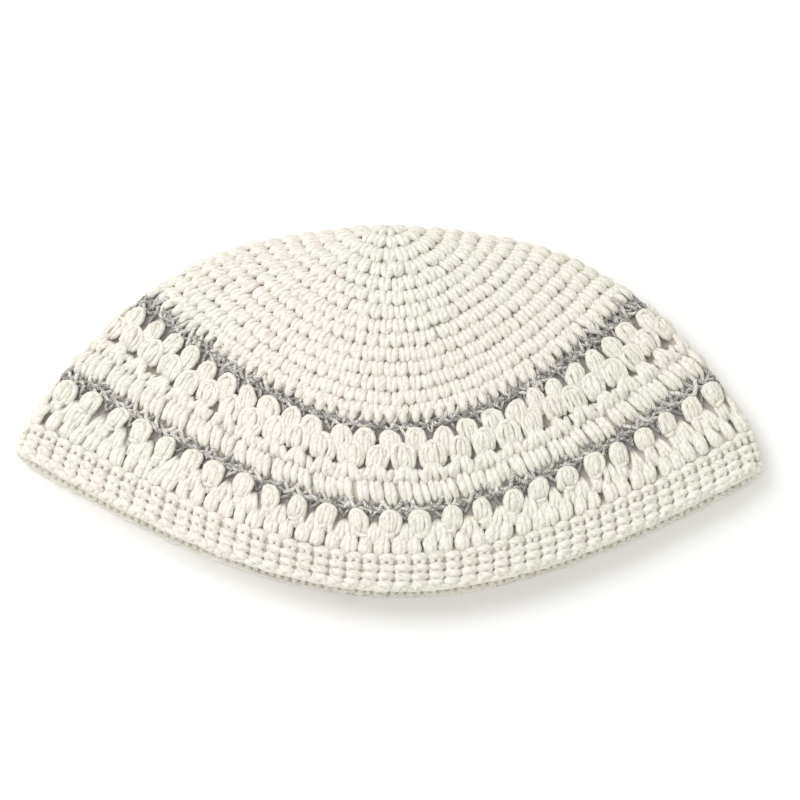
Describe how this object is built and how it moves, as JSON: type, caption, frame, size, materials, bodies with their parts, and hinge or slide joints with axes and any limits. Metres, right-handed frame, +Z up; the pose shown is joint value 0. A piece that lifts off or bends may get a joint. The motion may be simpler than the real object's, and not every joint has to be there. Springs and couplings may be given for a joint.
{
  "type": "skullcap",
  "caption": "Crocheted cotton skullcap lying folded flat as a half-moon, with a ridged crown, open puff-stitch bands, thin grey stripes and a close-worked rim; worn on the head.",
  "frame": {"origin": "on the table under the middle of the cap's box", "axes": "+X along the fold to the right, +Y from the mouth to the crown, +Z up from the table"},
  "size_m": [0.2648, 0.145, 0.0296],
  "materials": {
    "cream_cotton": "crocheted off-white cotton yarn, matt",
    "grey_melange": "crocheted grey melange cotton yarn, matt and fuzzy"
  },
  "bodies": {
    "root": {"crown": "cream_cotton", "upper_stripe": "grey_melange", "upper_puff_band": "cream_cotton", "lower_stripe": "grey_melange", "lower_puff_band": "cream_cotton", "rim_band": "cream_cotton"}
  },
  "joints": []
}
